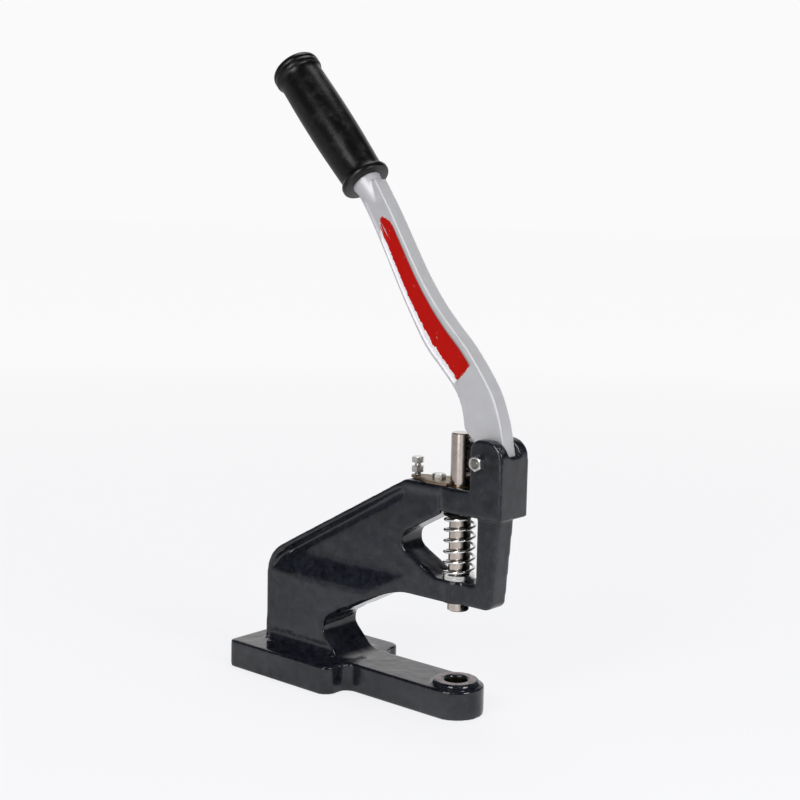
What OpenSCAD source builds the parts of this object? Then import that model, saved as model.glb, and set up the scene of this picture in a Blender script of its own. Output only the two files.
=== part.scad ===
// Hand-lever eyelet machine: a cast C-frame, a sprung ram and a geared lever, in millimetres.
// X runs forward along the base, Y across it and Z up. The origin is the centre of the lower
// die bore on the base's underside, and the ram slides on the same axis.

/* [Base] */
// Width of the wide rear part of the base
base_w = 87; // [80:1:96]
// Distance from the die axis back to the base's rear edge
base_rear = 200; // [194:1:215]
// Distance from the die axis back to the front edge of the wide part
wing_front = 91; // [86:1:95]
// Thickness of the base plate
base_t = 22; // [19:0.5:23]
// Width of the tongue that carries the lower die
tongue_w = 42; // [40:1:48]
// Corner radius at the rear of the base
rear_corner_r = 4; // [2:0.5:8]
// Corner radius at the front of the wide part
wing_corner_r = 9; // [5:0.5:12]
// Radius where the wide part runs into the tongue
neck_r = 8; // [5:0.5:10]

/* [Lower die boss] */
// Diameter of the machined ring round the die bore
boss_d = 34; // [30:0.5:38]
// Height of the ring above the base
boss_h = 3.6; // [2:0.2:5]
// Diameter of the lower die bore
die_bore_d = 17; // [14:0.5:19]
// Width of the chamfer at the mouth of the bore
bore_chamfer = 0.7; // [0.3:0.1:1.2]

/* [C-frame] */
// Distance from the die axis back to the rear face of the post
post_rear = 181.5; // [176:0.5:186]
// Thickness of the lower leg, across the frame
leg_w = 40; // [36:1:44]
// Thickness of the recessed web
web_w = 25; // [23:0.5:27]
// Thickness of the arm's rim where it meets the head
rim_w = 28; // [27:0.5:31]
// Depth of the rim that runs along the back and the top of the arm
rim_t = 5.5; // [4:0.5:8]
// Height at which the leg starts to thin towards the web
leg_shoulder = 80; // [74:1:84]
// Height at which the leg has thinned to the web
leg_top = 98; // [94:1:104]
// Distance from the die axis back to where the leg starts to narrow towards the lug
leg_taper_rear = 75.5; // [70:0.5:80]
// Distance from the die axis back to where it has narrowed to the web
leg_taper_front = 42.5; // [38:0.5:46]
// Slope of the arm's top
arm_slope = 29.4; // [28:0.2:31]
// Distance from the die axis back to where the slope meets the head's flat top
arm_top_back = 42.6; // [40:0.2:46]
// Radius of the corner between the post and the arm
arm_corner_r = 29; // [22:1:34]
// Radius of the flare between the leg and the base
foot_r = 24; // [18:0.5:25]
// Distance that the flare's rear edge runs forward on its way out
foot_sweep = 28; // [20:1:36]

/* [Throat] */
// Depth of the throat behind the die axis
throat_depth = 118.5; // [114:0.5:122]
// Height of the deepest point of the throat
throat_z = 44; // [42:0.5:46]
// Radius at the deepest point of the throat
throat_r = 9.5; // [8:0.5:10]
// Slope of the throat's upper side
throat_slope = 28; // [27:0.2:29]
// Slope of the throat's lower side
throat_fall = 45; // [42:0.5:48]
// Height of the throat's roof
roof_z = 85; // [84:0.5:88]
// Radius that blends the upper side into the roof
roof_r = 60; // [50:1:64]
// Radius that blends the lower side into the tongue
floor_r = 20; // [16:0.5:21]

/* [Window] */
// Depth of the window behind the die axis
window_depth = 45.5; // [42:0.5:48]
// Height of the window's deepest point
window_z = 125; // [122:0.5:128]
// Radius at the window's deepest point
window_r = 9; // [7:0.5:10]
// Slope of the window's two sides
window_slope = 28.6; // [27:0.2:30]

/* [Head and lugs] */
// Height of the head's flat top
head_top = 171.5; // [170:0.5:173]
// Height of the head's underside
head_bottom = 152.5; // [151:0.5:154]
// Width of the head and of the fork
head_w = 33; // [32:0.5:36]
// Diameter of the lower lug
lug_d = 27; // [26:0.5:30]
// Height of the lower lug's top
lug_top = 102; // [100:0.5:104]

/* [Fork] */
// Distance from the ram axis to the rear edge of the ears
fork_rear = 19.5; // [18.5:0.5:20.5]
// Distance from the ram axis to the front of the fork
fork_front = 48; // [47:0.5:51]
// Height of the top of the ears
fork_top = 209.5; // [206:0.5:211]
// Radius at the front of each ear
ear_front_r = 14; // [10:0.5:15]
// Radius at the rear of each ear
ear_rear_r = 9; // [6:0.5:10]
// Height of the wall that closes the slot at the front and stops the lever
stop_top = 199; // [197:0.5:201]
// Thickness of that wall
stop_wall = 3.5; // [3:0.5:5]

/* [Front column] */
// Distance from the ram axis to the column's rear face
column_rear = 22; // [20:0.5:24]
// Distance from the ram axis to the column's front face under the fork
column_front_top = 42; // [40:0.5:44]
// Distance from the ram axis to the column's front face at its foot
column_front_foot = 36.8; // [35:0.2:40]
// Thickness of the column, across the frame
column_w = 19; // [17:0.5:22]
// Radius at the column's front foot
column_foot_r = 6; // [4:0.5:8]

/* [Ram] */
// Diameter of the ram
ram_d = 16; // [15:0.2:16.4]
// Height of the ram's lower end with the lever at rest
ram_bottom = 78.2; // [77:0.2:80]
// Height of the ram's upper end with the lever at rest
ram_top = 210.1; // [209:0.1:210.5]
// Diameter of the upper die bore in the ram's end
upper_bore_d = 8; // [6:0.5:9]
// Depth of the upper die bore
upper_bore_depth = 20; // [15:0.5:25]
// Chamfer at both ends of the ram
ram_chamfer = 0.6; // [0.3:0.1:1]
// Width of the keyway down the back of the ram
keyway_w = 6; // [4:0.5:7]
// Depth of the keyway
keyway_depth = 2.5; // [2:0.1:3]

/* [Rack and gear] */
// Module of the rack and of the lever's teeth
gear_module = 1.5; // [1.4:0.05:1.6]
// Pressure angle of the teeth
pressure_angle = 20; // [18:0.5:22]
// Clearance on each flank of a tooth
tooth_play = 0.2; // [0.15:0.01:0.28]
// Teeth of the lever's sector below the pivot's level, with the lever at rest
teeth_below = 2; // [1:1:2]
// Distance from the ram axis to the rack's pitch line
rack_pitch_x = 5.5; // [5.3:0.1:5.7]
// Width of the rack, whose gaps stop short of the ram's sides
rack_w = 7.6; // [6.6:0.1:7.7]

/* [Lever] */
// Distance from the ram axis to the pivot
pivot_x = 28; // [27.6:0.1:28.4]
// Height of the pivot
pivot_z = 193; // [192.5:0.1:193.5]
// Thickness of the lever
lever_t = 13.2; // [12:0.2:14]
// Gap between the lever and each ear
ear_gap = 0.3; // [0.25:0.05:0.5]
// Depth of the painted panel in each side of the lever
panel_depth = 0.8; // [0.4:0.1:1.2]
// Diameter of the lever's round end inside the grip
tang_d = 23; // [21:0.5:25]
// Length of that round end
tang_len = 89; // [80:1:94]
// Length of the cone that runs from the round end into the flat lever
tang_cone = 24; // [20:1:32]
// Swing of the lever from rest to the end of the stroke
lever_swing = 36; // [30:1:36]

/* [Grip] */
// Length of the grip
grip_len = 119; // [110:1:130]
// Diameter of the grip's two end flanges
grip_flange_d = 38.4; // [37:0.2:42]
// Diameter of the grip at the middle of its barrel
grip_d = 36.8; // [34:0.2:38]
// Diameter of the grip at its narrow neck, next to the lever
grip_neck_d = 33.4; // [32:0.2:35]
// Lean of the grip, back from upright
grip_lean = 41.6; // [40:0.2:43]

/* [Pivot hardware] */
// Diameter of the pivot bolt's shoulder
shoulder_d = 10; // [9:0.5:11]
// Outer diameter of the bush in the lever's hub
bush_d = 14; // [13:0.5:15]
// Thread diameter of the pivot bolt and of the plate bolt
thread_d = 6; // [5:0.5:6.5]
// Width across flats of the pivot nut
hex_af = 10; // [9:0.5:11]
// Width across flats of the pivot bolt's head
bolt_head_af = 15; // [13:0.5:17]
// Thickness of the pivot nut
nut_t = 5; // [4:0.5:6]

/* [Ram guides] */
// Outer diameter of the two guide bushes
guide_d = 20; // [19:0.5:21]
// Diameter of the lower guide bush's flange
guide_flange_d = 24; // [23:0.5:26]
// Thickness of that flange
guide_flange_t = 1.7; // [1.2:0.1:2]

/* [Return spring] */
// Outer diameter of the spring and of its washers
spring_d = 24.2; // [23:0.2:25]
// Diameter of the spring's wire
wire_d = 2.3; // [2:0.1:2.6]
// Turns of the spring
spring_turns = 5.3; // [5:0.1:6]
// Direction of the wire's lower end, turned from straight ahead
spring_start = 228; // [200:1:260]
// Thickness of the lower washer
lower_washer_t = 1.9; // [1.4:0.1:2.2]
// Thickness of the upper washer
upper_washer_t = 1.5; // [1.2:0.1:2]
// Thickness of the retaining ring that holds the spring on the ram
ring_t = 1.5; // [1.2:0.1:1.8]
// Depth of the ring's groove in the ram
ring_groove = 0.8; // [0.5:0.1:1.2]
// Room between the spring and the casting's round recess behind it
spring_room = 0.9; // [0.5:0.1:1.5]

/* [Guide plate] */
// Thickness of the guide plate on the head
plate_t = 2; // [1.6:0.1:2.5]
// Width of the guide plate
plate_w = 27; // [24:0.5:27.5]
// Distance from the ram axis back to where the plate starts to narrow
plate_wide_back = 21.5; // [18:0.5:26]
// Radius of the plate's narrow end round the adjusting screw
plate_tail_r = 4.8; // [4:0.1:6]
// Distance from the ram axis back to the plate bolt
plate_bolt_x = 20.7; // [19:0.1:23]
// Distance from the ram axis back to the adjusting screw
adjuster_x = 41.2; // [38:0.2:42]
// Width across flats of the plate bolt's head
plate_bolt_af = 8.8; // [8:0.1:10]
// Depth of the plate bolt's threaded hole in the head
plate_bolt_depth = 12; // [10:0.5:14]
// Thread diameter of the adjusting screw
adjuster_d = 5; // [4:0.5:5]
// Height of the adjusting screw above the head
adjuster_h = 15.7; // [14.5:0.1:18]
// Width across flats of the adjusting screw's head and nut
adjuster_af = 8.4; // [8:0.2:9]

/* [Die set screw] */
// Thread diameter of the set screw in the ram's end
set_screw_d = 5; // [4:0.5:5]
// Height of the set screw above the ram's lower end
set_screw_rise = 3.7; // [3.3:0.1:6]
// How far the set screw stands out of the ram
set_screw_out = 2.6; // [1:0.1:3.5]
// Direction of the set screw, turned from straight ahead
set_screw_turn = -20; // [-30:1:30]

/* [Hidden] */

$fn = 96;
EPS = 0.01;
// Far enough to cut through everything
FAR = 300;
// Radial clearance of a running or screwed fit
FIT = 0.05;
// Clearance between pieces that move past each other
RUN = 0.3;
// Overlap that joins two solids of one casting
SINK = 2;
// Arcs between straight sides are larger by this, so that they cross the sides
BITE = 0.02;

post_x = -post_rear;
tongue_r = tongue_w / 2;
head_r = head_w / 2;
ram_r = ram_d / 2;
spring_r = spring_d / 2;
boss_top = base_t + boss_h;

// The corner arc between the post and the arm touches the rear face and the slope
corner_x = post_x + arm_corner_r;
corner_z = head_top + (corner_x + arm_top_back) * tan(arm_slope) - arm_corner_r / cos(arm_slope);

// The throat's deepest arc, and its two blends into the roof and into the tongue
throat_x = throat_r - throat_depth;
upper_tan = [throat_x - throat_r * sin(throat_slope), throat_z + throat_r * cos(throat_slope)];
lower_tan = [throat_x - throat_r * sin(throat_fall), throat_z - throat_r * cos(throat_fall)];
roof_meet = upper_tan[0] + (roof_z - upper_tan[1]) / tan(throat_slope);
roof_x = roof_meet + roof_r * tan(throat_slope / 2);
floor_meet = lower_tan[0] + (lower_tan[1] - base_t) / tan(throat_fall);
floor_x = floor_meet + floor_r * tan(throat_fall / 2);

// The window's deepest arc and its two straight sides
window_x = window_r - window_depth;
window_dx = window_r * sin(window_slope);
window_dz = window_r * cos(window_slope);
window_top_x = window_x - window_dx + (head_bottom - window_z - window_dz) / tan(window_slope);
window_foot_x = window_x - window_dx + (window_z - window_dz - lug_top) / tan(window_slope);

slot_w = lever_t + 2 * ear_gap;
stop_x = fork_front - stop_wall;
hub_r = stop_x - RUN - pivot_x;

// Teeth: the rack's pitch line touches the sector's pitch circle
pitch_r = pivot_x - rack_pitch_x;
tooth_pitch = PI * gear_module;
tooth_angle = tooth_pitch / pitch_r * 180 / PI;
addendum = gear_module;
dedendum = 1.25 * gear_module;
teeth_above = ceil(lever_swing / tooth_angle);
sector_tip_r = pitch_r + addendum;
sector_root_r = pitch_r - dedendum;
base_circle_r = pitch_r * cos(pressure_angle);
rack_tip_x = rack_pitch_x + addendum;
rack_root_x = rack_pitch_x - dedendum;
stroke = pitch_r * lever_swing * PI / 180;
rack_foot_z = pivot_z - sqrt(pow(sector_tip_r + RUN, 2) - pow(pivot_x - ram_r, 2));

// Stack of washers and spring under the head
ring_top = head_bottom - RUN;
ring_foot = ring_top - ring_t;
upper_washer_foot = ring_foot - upper_washer_t;
lower_washer_foot = lug_top + guide_flange_t;
spring_foot = lower_washer_foot + lower_washer_t;
spring_top = upper_washer_foot - RUN;
spring_len = spring_top - spring_foot;

plate_top = head_top + plate_t;

// Edges of the lever about its pivot, as matching points from the fork to the grip
lever_rear = [
    [-21.5, 21.5], [-24.6, 36], [-31.5, 48.8], [-44.8, 62.6], [-59.3, 77.2],
    [-71.3, 94.5], [-85.4, 117.2], [-101.2, 144.8], [-116.6, 170.1], [-130, 189]
];
lever_front = [
    [12.4, 18], [9, 31.5], [0.2, 51.5], [-19.6, 77.2], [-38, 95.3],
    [-51.5, 109.5], [-66.2, 128.5], [-81.6, 152.5], [-96.3, 176], [-112, 198.5]
];
// The grip starts at this point on the lever's middle line, also about the pivot
grip_foot = [-125.4, 195.8];

// One stretch of a smooth curve through p1 and p2
function blend(p0, p1, p2, p3, t) =
    0.5 * (2 * p1 + (p2 - p0) * t + (2 * p0 - 5 * p1 + 4 * p2 - p3) * t * t
        + (3 * p1 - p0 - 3 * p2 + p3) * t * t * t);

// The point at s, counted in points, on a smooth curve through a list of points
function on_curve(points, s) =
    let (last = len(points) - 1)
    let (i = min(floor(s), last - 1))
    blend(points[max(i - 1, 0)], points[i], points[i + 1], points[min(i + 2, last)], s - i);

function edge(points, from, to, steps) =
    [for (k = [0:steps]) on_curve(points, from + (to - from) * k / steps)];

function reversed(points) = [for (k = [len(points) - 1:-1:0]) points[k]];

// Involute of the base circle at radius r, as an angle from its start
function involute(r) =
    let (a = acos(min(1, base_circle_r / r)))
    tan(a) * 180 / PI - a;

// Half the angle of a sector tooth at radius r, thinned for play
function half_tooth(r) =
    (tooth_pitch / 4 - tooth_play) / pitch_r * 180 / PI + involute(pitch_r) - involute(r);

// Draws a shape given in X and Z as a slab across the frame
module across(width) {
    rotate([90, 0, 0])
        linear_extrude(width, center = true) children();
}

// A cylinder that runs along Y from y0 to y1, through the pivot
module pivot_rod(r, y0, y1) {
    translate([pivot_x, y1, pivot_z])
        rotate([90, 0, 0]) cylinder(r = r, h = y1 - y0);
}

module hex_prism(af, h) {
    cylinder(d = af / cos(30), h = h, $fn = 6);
}

// A round tube that stands on the ram axis
module ring(outer_r, inner_r, h) {
    difference() {
        cylinder(r = outer_r, h = h);
        translate([0, 0, -EPS]) cylinder(r = inner_r, h = h + 2 * EPS);
    }
}

// ---- frame casting ----

module base_outline() {
    wing_w = base_w / 2;
    translate([-base_rear, -wing_w + rear_corner_r])
        square([base_rear - wing_front - wing_corner_r, base_w - 2 * rear_corner_r]);
    translate([-base_rear + rear_corner_r, -wing_w])
        square([base_rear - wing_front - rear_corner_r - wing_corner_r, base_w]);
    translate([-wing_front - wing_corner_r - EPS, -wing_w + wing_corner_r])
        square([wing_corner_r + EPS, base_w - 2 * wing_corner_r]);
    for (side = [-1, 1]) {
        translate([-base_rear + rear_corner_r, side * (wing_w - rear_corner_r)])
            circle(rear_corner_r);
        translate([-wing_front - wing_corner_r, side * (wing_w - wing_corner_r)])
            circle(wing_corner_r);
        scale([1, side])
            translate([-wing_front - EPS, tongue_r - EPS])
                difference() {
                    square(neck_r);
                    translate([neck_r, neck_r]) circle(neck_r);
                }
    }
    translate([-wing_front - EPS, -tongue_r]) square([wing_front + EPS, tongue_w]);
    circle(tongue_r);
}

// The C-frame from the side, drawn in by an inset on its outer edges
module arm_outline(inset = 0) {
    r = arm_corner_r - inset;
    top_x = -arm_top_back + inset * tan(arm_slope / 2);
    polygon([
        [post_x + inset, base_t - SINK],
        [post_x + inset, corner_z],
        [corner_x - r * sin(arm_slope), corner_z + r * cos(arm_slope)],
        [top_x, head_top - inset],
        [0, head_top - inset],
        [0, base_t - SINK]
    ]);
    translate([corner_x, corner_z]) circle(r);
}

module throat_outline() {
    polygon([
        upper_tan,
        [roof_x - roof_r * sin(throat_slope), roof_z - roof_r * (1 - cos(throat_slope))],
        [roof_x, roof_z],
        [FAR, roof_z],
        [FAR, base_t],
        [floor_x, base_t],
        [floor_x - floor_r * sin(throat_fall), base_t + floor_r * (1 - cos(throat_fall))],
        lower_tan,
        [throat_x, throat_z]
    ]);
    translate([throat_x, throat_z]) circle(throat_r + BITE);
    translate([floor_x, base_t + floor_r]) circle(floor_r + BITE);
    intersection() {
        translate([roof_x, roof_z - roof_r]) circle(roof_r + BITE);
        translate([floor_x, base_t + floor_r]) square([roof_r, roof_z]);
    }
}

module window_outline() {
    polygon([
        [window_x - window_dx, window_z + window_dz],
        [window_top_x, head_bottom],
        [column_rear, head_bottom],
        [column_rear, lug_top],
        [window_foot_x, lug_top],
        [window_x - window_dx, window_z - window_dz]
    ]);
    translate([window_x, window_z]) circle(window_r + BITE);
}

// Outline seen from above that narrows from the leg to the given width at the head
module narrowing(front_w, start_x, end_x) {
    polygon([
        [post_x - 1, -leg_w / 2], [start_x, -leg_w / 2], [end_x, -front_w / 2], [0, -front_w / 2],
        [0, front_w / 2], [end_x, front_w / 2], [start_x, leg_w / 2], [post_x - 1, leg_w / 2]
    ]);
}

// The thick lower leg, which thins to the web above its shoulder
module leg() {
    intersection() {
        across(leg_w) arm_outline();
        rotate([90, 0, 90])
            translate([0, 0, -FAR])
                linear_extrude(FAR)
                    polygon([
                        [-leg_w / 2, 0], [leg_w / 2, 0], [leg_w / 2, leg_shoulder],
                        [web_w / 2, leg_top], [-web_w / 2, leg_top], [-leg_w / 2, leg_shoulder]
                    ]);
        linear_extrude(FAR) narrowing(web_w, -leg_taper_rear, -leg_taper_front);
    }
}

module web() {
    across(web_w) arm_outline();
}

// The rim along the back and the top of the arm
module rim() {
    intersection() {
        across(leg_w)
            difference() {
                arm_outline();
                arm_outline(rim_t);
            }
        linear_extrude(FAR) narrowing(rim_w, corner_x, -arm_top_back);
    }
}

// The flare that carries the leg's sides out to the edges of the base
module foot() {
    // The arcs cut a little into the leg and the base, so that they end on an edge
    flare_y = leg_w / 2 + foot_r - 0.15;
    flare_z = base_t + foot_r - 0.3;
    half_w = min(flare_y, base_w / 2 - 0.5);
    intersection() {
        rotate([90, 0, 90])
            translate([0, 0, -FAR])
                linear_extrude(FAR)
                    difference() {
                        translate([-half_w, base_t - SINK]) square([2 * half_w, foot_r]);
                        for (side = [-1, 1])
                            translate([side * flare_y, flare_z]) circle(foot_r);
                    }
        linear_extrude(FAR)
            polygon([
                [post_x, -leg_w / 2], [post_x + foot_sweep, -base_w / 2],
                [-wing_front - wing_corner_r / 2, -base_w / 2],
                [-wing_front + neck_r / 2, -tongue_r], [-wing_front + neck_r / 2, tongue_r],
                [-wing_front - wing_corner_r / 2, base_w / 2],
                [post_x + foot_sweep, base_w / 2], [post_x, leg_w / 2]
            ]);
    }
}

// Everything between the base and the head, with the throat and the window cut through
module arm() {
    difference() {
        union() {
            leg();
            web();
            rim();
            foot();
        }
        across(FAR) throat_outline();
        across(FAR) window_outline();
    }
}

module head() {
    translate([0, 0, head_bottom]) cylinder(r = head_r, h = head_top - head_bottom);
    translate([0, -head_r, head_bottom])
        cube([fork_rear + SINK, head_w, head_top - head_bottom]);
}

module fork() {
    across(head_w) {
        polygon([
            [fork_rear, head_bottom], [fork_front, head_bottom],
            [fork_front, fork_top - ear_front_r], [fork_front - ear_front_r, fork_top],
            [fork_rear + ear_rear_r, fork_top], [fork_rear, fork_top - ear_rear_r]
        ]);
        translate([fork_front - ear_front_r, fork_top - ear_front_r]) circle(ear_front_r);
        translate([fork_rear + ear_rear_r, fork_top - ear_rear_r]) circle(ear_rear_r);
    }
}

// The slot between the ears, with a round floor that clears the sector's teeth
module slot_outline() {
    translate([fork_rear - SINK, head_top]) square([stop_x - fork_rear + SINK, FAR]);
    translate([fork_rear - SINK, stop_top]) square([FAR, FAR]);
    intersection() {
        translate([pivot_x, pivot_z]) circle(sector_tip_r + RUN);
        square([stop_x, FAR]);
    }
}

module column() {
    foot_x = column_front_foot - column_foot_r;
    across(column_w) {
        polygon([
            [column_rear, head_bottom + SINK], [column_front_top, head_bottom + SINK],
            [column_front_top, head_bottom], [column_front_foot, roof_z + column_foot_r],
            [foot_x, roof_z], [0, roof_z], [0, lug_top], [column_rear, lug_top]
        ]);
        translate([foot_x, roof_z + column_foot_r]) circle(column_foot_r);
    }
}

module frame_casting() {
    color("#23272e")
        difference() {
            union() {
                linear_extrude(base_t) base_outline();
                cylinder(d = boss_d, h = boss_top);
                arm();
                head();
                fork();
                column();
                translate([0, 0, roof_z]) cylinder(d = lug_d, h = lug_top - roof_z);
            }
            translate([0, 0, -1]) cylinder(d = die_bore_d, h = boss_top + 2);
            translate([0, 0, boss_top - bore_chamfer])
                cylinder(
                    d1 = die_bore_d, d2 = die_bore_d + 4 * bore_chamfer, h = 2 * bore_chamfer
                );
            translate([0, 0, head_bottom - 1])
                cylinder(d = guide_d, h = head_top - head_bottom + 2);
            translate([0, 0, roof_z - 1]) cylinder(d = guide_d, h = lug_top - roof_z + 2);
            pivot_rod(shoulder_d / 2 + FIT, 0, FAR);
            pivot_rod(thread_d / 2 + FIT, -FAR, 0);
            translate([-plate_bolt_x, 0, head_top - plate_bolt_depth])
                cylinder(r = thread_d / 2 + FIT, h = plate_bolt_depth + 1);
            // Room for the spring and its washers, from the lug up to the head
            translate([0, 0, lug_top])
                cylinder(r = spring_r + spring_room, h = head_bottom - lug_top);
            across(slot_w) slot_outline();
        }
}

// ---- ram and its guides ----

module upper_guide_bush() {
    color("#b08d57")
        translate([0, 0, head_bottom])
            ring(guide_d / 2, ram_r + FIT, head_top - head_bottom);
}

module lower_guide_bush() {
    color("#b08d57")
        difference() {
            union() {
                translate([0, 0, roof_z]) cylinder(d = guide_d, h = lug_top - roof_z);
                translate([0, 0, lug_top]) cylinder(d = guide_flange_d, h = guide_flange_t);
            }
            translate([0, 0, roof_z - 1])
                cylinder(r = ram_r + FIT, h = lug_top - roof_z + guide_flange_t + 2);
        }
}

// The gap between two rack teeth, in X and Z, centred on z = 0
module rack_gap() {
    pitch_half = tooth_pitch / 4;
    root_half = pitch_half - dedendum * tan(pressure_angle);
    open_x = ram_r + 1;
    open_half = pitch_half + (open_x - rack_pitch_x) * tan(pressure_angle);
    polygon([
        [rack_root_x, -root_half], [open_x, -open_half],
        [open_x, open_half], [rack_root_x, root_half]
    ]);
}

module ram() {
    gaps_below = ceil((pivot_z - rack_foot_z) / tooth_pitch);
    gaps_above = floor((ram_top - pivot_z) / tooth_pitch);
    screw_z = ram_bottom + set_screw_rise;
    color("#9b958c")
        difference() {
            union() {
                translate([0, 0, ram_bottom])
                    cylinder(r1 = ram_r - ram_chamfer, r2 = ram_r, h = ram_chamfer);
                translate([0, 0, ram_bottom + ram_chamfer])
                    cylinder(r = ram_r, h = ram_top - ram_bottom - 2 * ram_chamfer);
                translate([0, 0, ram_top - ram_chamfer])
                    cylinder(r1 = ram_r, r2 = ram_r - ram_chamfer, h = ram_chamfer);
            }
            // Bore for the upper die
            translate([0, 0, ram_bottom - 1])
                cylinder(d = upper_bore_d, h = upper_bore_depth + 1);
            // Rack: a flat down the front, with the gaps cut across it
            translate([rack_tip_x, -ram_r, rack_foot_z])
                cube([ram_r, ram_d, ram_top - rack_foot_z + 1]);
            for (k = [-gaps_below:gaps_above])
                translate([0, 0, pivot_z + k * tooth_pitch]) across(rack_w) rack_gap();
            // Keyway for the guide plate's tongue
            translate([-ram_r - 1, -keyway_w / 2, head_top - 1])
                cube([keyway_depth + 1, keyway_w, plate_t + stroke + 2]);
            // Groove for the retaining ring
            translate([0, 0, ring_foot])
                ring(ram_r + 1, ram_r - ring_groove, ring_t);
            // Threaded hole for the set screw
            rotate([0, 0, set_screw_turn])
                translate([0, 0, screw_z])
                    rotate([0, 90, 0]) cylinder(r = set_screw_d / 2 + FIT, h = ram_d);
        }
}

module die_set_screw() {
    length = ram_r + set_screw_out - upper_bore_d / 2 - RUN;
    socket_af = set_screw_d / 2;
    color("#1c1c1e")
        rotate([0, 0, set_screw_turn])
            translate([upper_bore_d / 2 + RUN, 0, ram_bottom + set_screw_rise])
                rotate([0, 90, 0])
                    difference() {
                        cylinder(d = set_screw_d, h = length);
                        translate([0, 0, length - 2]) hex_prism(socket_af, 3);
                    }
}

module upper_spring_washer() {
    color("#4a4a4c")
        translate([0, 0, upper_washer_foot]) ring(spring_r, ram_r + FIT, upper_washer_t);
}

// An open ring that snaps into the ram's groove
module retaining_ring() {
    mouth = 5;
    outer_r = ram_r + 2.2;
    color("#3a3a3c")
        translate([0, 0, ring_foot + FIT])
            difference() {
                ring(outer_r, ram_r - ring_groove + FIT, ring_t - 2 * FIT);
                translate([-outer_r - 1, -mouth / 2, -1]) cube([outer_r, mouth, ring_t + 2]);
            }
}

module lower_spring_washer() {
    color("#b9bcc0")
        translate([0, 0, lower_washer_foot])
            ring(spring_r - 0.3, ram_r + RUN, lower_washer_t);
}

// ---- return spring: one wire swept along a helix ----

spring_sides = 6;
rings_per_turn = 8;
coil_r = spring_r - wire_d / 2;
turn_count = ceil(spring_turns * rings_per_turn);
coil_foot = spring_foot + wire_d / 2;
coil_top = spring_top - wire_d / 2;

// Share by which the coil's rise slows at its two ends
end_ease = 0.05;

// Height share at a share u of the turns
function climb(u) = u - end_ease * sin(360 * u) / (2 * PI);

function wire_centre(u) =
    let (a = spring_start + 360 * spring_turns * u)
    [coil_r * cos(a), coil_r * sin(a), coil_foot + (coil_top - coil_foot) * climb(u)];

// Ring of the wire at u, square to the coil's run
function wire_ring(u) =
    let (a = spring_start + 360 * spring_turns * u)
    let (c = wire_centre(u))
    [for (s = [0:spring_sides - 1])
        let (b = 360 * s / spring_sides)
        c + wire_d / 2 * [cos(b) * cos(a), cos(b) * sin(a), sin(b)]];

spring_points = [for (k = [0:turn_count]) each wire_ring(k / turn_count)];

function ring_start(k) = k * spring_sides;

spring_faces = concat(
    [for (s = [1:spring_sides - 2]) [0, s, s + 1]],
    [for (k = [0:turn_count - 1])
        for (s = [0:spring_sides - 1])
            let (n = (s + 1) % spring_sides)
            each [
                [ring_start(k) + s, ring_start(k + 1) + s, ring_start(k) + n],
                [ring_start(k) + n, ring_start(k + 1) + s, ring_start(k + 1) + n]
            ]],
    [for (s = [1:spring_sides - 2])
        [ring_start(turn_count), ring_start(turn_count) + s + 1, ring_start(turn_count) + s]]
);

// Least gap between one turn and the next, measured on the wire's centre points
self_gap = min([
    for (k = [0:turn_count - rings_per_turn])
        norm(wire_centre((k + rings_per_turn) / turn_count) - wire_centre(k / turn_count)) - wire_d
]);
echo(least_gap_of_spring_to_itself = self_gap);

module return_spring() {
    color("#c9ccd1") polyhedron(points = spring_points, faces = spring_faces, convexity = 10);
}

// ---- lever ----

// One tooth of the sector, which points along -X from the pivot
module sector_tooth() {
    steps = 5;
    foot_r = sector_root_r - 1;
    low_r = max(base_circle_r, sector_root_r);
    radii = [for (k = [0:steps]) low_r + (sector_tip_r - low_r) * k / steps];
    flank = [for (r = radii) [r, half_tooth(r)]];
    foot_half = flank[0][1];
    side = concat([[foot_r, foot_half]], flank);
    polygon([
        for (p = side) p[0] * [-cos(p[1]), sin(p[1])],
        for (p = reversed(side)) p[0] * [-cos(p[1]), -sin(p[1])]
    ]);
}

// The toothed sector, as seen from the side, about the pivot
module sector_outline() {
    // Ends and middle of the sector, as angles above the pivot's level
    ends = [(teeth_above + 0.5) * tooth_angle, -(teeth_below + 0.5) * tooth_angle];
    rays = [ends[0], (ends[0] + ends[1]) / 2, ends[1]];
    intersection() {
        circle(sector_root_r);
        polygon(concat([[0, 0]], [for (a = rays) 2 * sector_root_r * [-cos(a), sin(a)]]));
    }
    for (k = [-teeth_below:teeth_above])
        rotate(-k * tooth_angle) sector_tooth();
}

// The lever from the side, about the pivot
module lever_outline() {
    steps = 36;
    last = len(lever_rear) - 1;
    polygon(concat(
        [[0, 0]],
        edge(lever_rear, 0, last, steps),
        reversed(edge(lever_front, 0, last, steps)),
        [[hub_r, 0]]
    ));
    circle(hub_r);
}

// One side of the painted panel, at the given share of the way from the rear edge to the front
function panel_side(share, from, to, steps) =
    let (rear = edge(lever_rear, from, to, steps))
    let (front = edge(lever_front, from, to, steps))
    [for (k = [0:steps]) rear[k] + (front[k] - rear[k]) * share];

// The painted panel, a band between the lever's edges, also about the pivot
module panel_outline() {
    steps = 24;
    polygon(concat(
        panel_side(0.09, 2.15, 8.5, steps),
        reversed(panel_side(0.8, 2.75, 8.2, steps))
    ));
}

// Turns a solid that stands on the origin so that it stands along the grip's axis
module along_grip() {
    translate([pivot_x + grip_foot[0], 0, pivot_z + grip_foot[1]])
        rotate([0, -grip_lean, 0]) children();
}

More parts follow.
